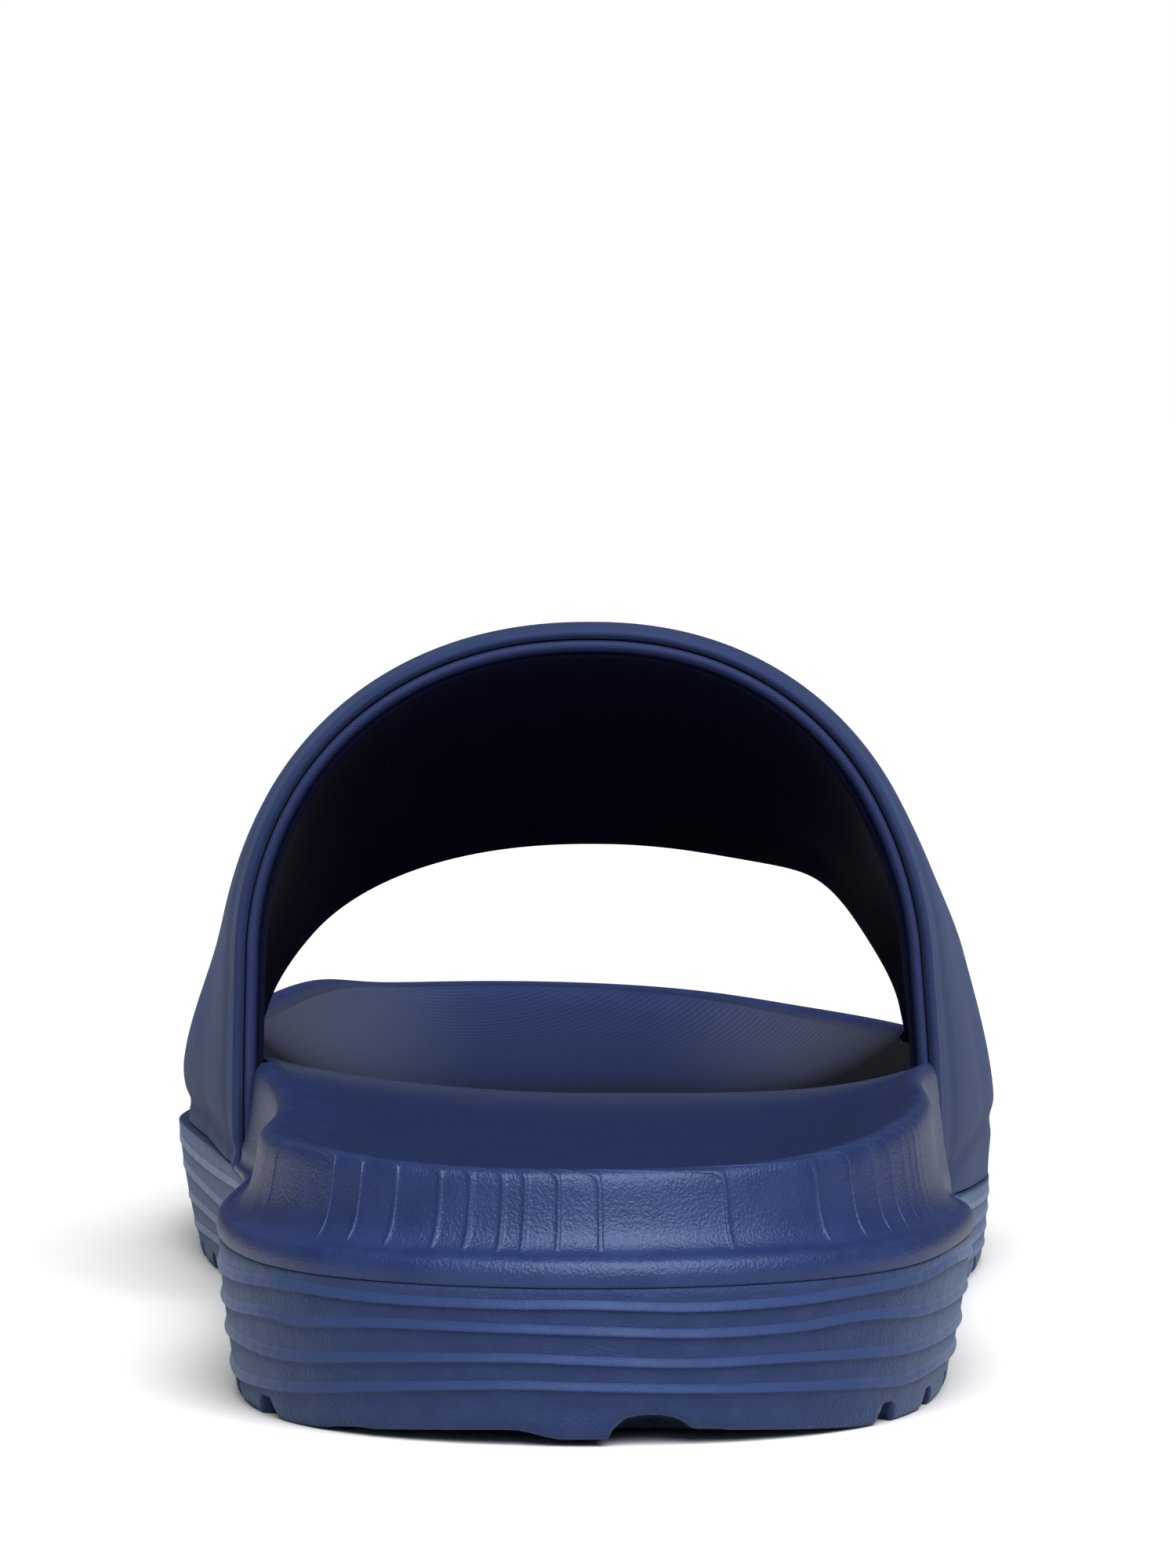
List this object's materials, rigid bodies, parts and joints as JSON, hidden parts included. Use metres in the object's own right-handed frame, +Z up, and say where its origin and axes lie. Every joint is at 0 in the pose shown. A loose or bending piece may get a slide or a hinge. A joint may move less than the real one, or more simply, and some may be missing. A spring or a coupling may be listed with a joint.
{
  "type": "sport slide sandal",
  "caption": "Right sport slide sandal with a ribbed foam midsole, a cupped footbed and a wide padded strap over the forefoot.",
  "frame": {"origin": "on the ground, under the middle of the shoe's box in plan", "axes": "+Y towards the toe, +X towards the little toe's side, +Z up"},
  "size_m": [0.1108, 0.2898, 0.0877],
  "materials": {
    "midsole_foam": "matte grained foam",
    "footbed_foam": "satin foam",
    "strap_skin": "satin coated synthetic"
  },
  "bodies": {
    "root": {"midsole": "midsole_foam", "footbed": "footbed_foam", "strap": "strap_skin"}
  },
  "joints": []
}
